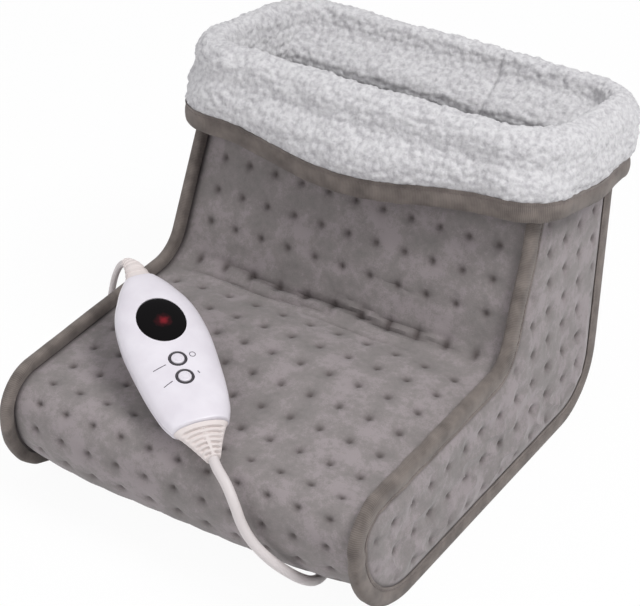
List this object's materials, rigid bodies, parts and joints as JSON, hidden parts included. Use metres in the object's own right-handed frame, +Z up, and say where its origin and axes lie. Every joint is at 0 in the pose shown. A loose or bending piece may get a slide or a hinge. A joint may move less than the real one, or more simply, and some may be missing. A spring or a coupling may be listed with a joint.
{
  "type": "electric foot warmer",
  "caption": "Quilted heated boot for both feet, with bound seams, a folded sherpa cuff, a heating pad in its sole and a corded hand controller.",
  "frame": {"origin": "on the floor, at the middle of the boot's footprint box without its free cords", "axes": "+X across the boot's width, to the right for someone who looks at its toe; the toe points along -Y; +Z up"},
  "size_m": [0.3465, 0.5282, 0.2476],
  "materials": {
    "quilted_plush": "short plush pile, quilted with small dimples, grey-taupe",
    "non_slip_cloth": "woven sole cloth with rubber dots",
    "grosgrain_tape": "ribbed tape, darker taupe",
    "sherpa_fleece": "curly sherpa pile, cool white",
    "foam": "soft open-cell foam sheet",
    "heater_felt": "needled felt",
    "heating_wire": "silicone-coated wire",
    "controller_abs": "satin white moulding with a faint lilac cast",
    "display_window": "glossy black window",
    "dark_keypad": "matt dark grey",
    "circuit_board": "green solder mask",
    "plated_metal": "nickel plate",
    "white_cord": "smooth cord jacket, warm white",
    "cream_relief": "soft moulded plastic, cream"
  },
  "bodies": {
    "boot": {"front_panel": "quilted_plush", "back_panel": "quilted_plush", "sole_panel": "non_slip_cloth", "side_panel_left": "quilted_plush", "side_panel_right": "quilted_plush", "edge_binding_left": "grosgrain_tape", "edge_binding_right": "grosgrain_tape", "cuff": "sherpa_fleece", "cuff_binding": "grosgrain_tape", "lining_front": "sherpa_fleece", "lining_back": "sherpa_fleece", "lining_left": "sherpa_fleece", "lining_right": "sherpa_fleece", "lining_sole": "sherpa_fleece", "sole_foam": "foam", "heating_pad": "heater_felt", "heating_wire": "heating_wire", "inner_lead": "heating_wire", "thermal_cutout_1": "plated_metal", "thermal_cutout_2": "plated_metal", "cord_outlet": "cream_relief", "controller_top_shell": "controller_abs", "controller_bottom_shell": "controller_abs", "display_window": "display_window", "display_module": "dark_keypad", "circuit_board": "circuit_board", "tact_switch_power": "plated_metal", "tact_switch_level": "plated_metal", "bezel_power": "dark_keypad", "bezel_level": "dark_keypad", "controller_screw_1": "plated_metal", "controller_screw_2": "plated_metal", "controller_screw_3": "plated_metal", "strain_relief_upper": "cream_relief", "strain_relief_lower": "cream_relief", "heater_cord": "white_cord", "mains_cord": "white_cord", "mains_cord_coil": "white_cord", "coil_tie": "dark_keypad", "plug_body": "cream_relief", "plug_pin_1": "plated_metal", "plug_pin_2": "plated_metal", "plug_strain_relief": "cream_relief"},
    "power_button": {"button_power": "controller_abs", "switch_plunger_power": "dark_keypad"},
    "level_button": {"button_level": "controller_abs", "switch_plunger_level": "dark_keypad"}
  },
  "joints": [
    {"name": "power_press", "type": "slide", "parent": "boot", "child": "power_button", "axis": [-0.1932, 0.1456, -0.9703], "range_m": [0, 0.0008], "stiffness_N_per_m": 700, "springref_m": -0.0003},
    {"name": "level_press", "type": "slide", "parent": "boot", "child": "level_button", "axis": [-0.1932, 0.1456, -0.9703], "range_m": [0, 0.0008], "stiffness_N_per_m": 700, "springref_m": -0.0003}
  ]
}
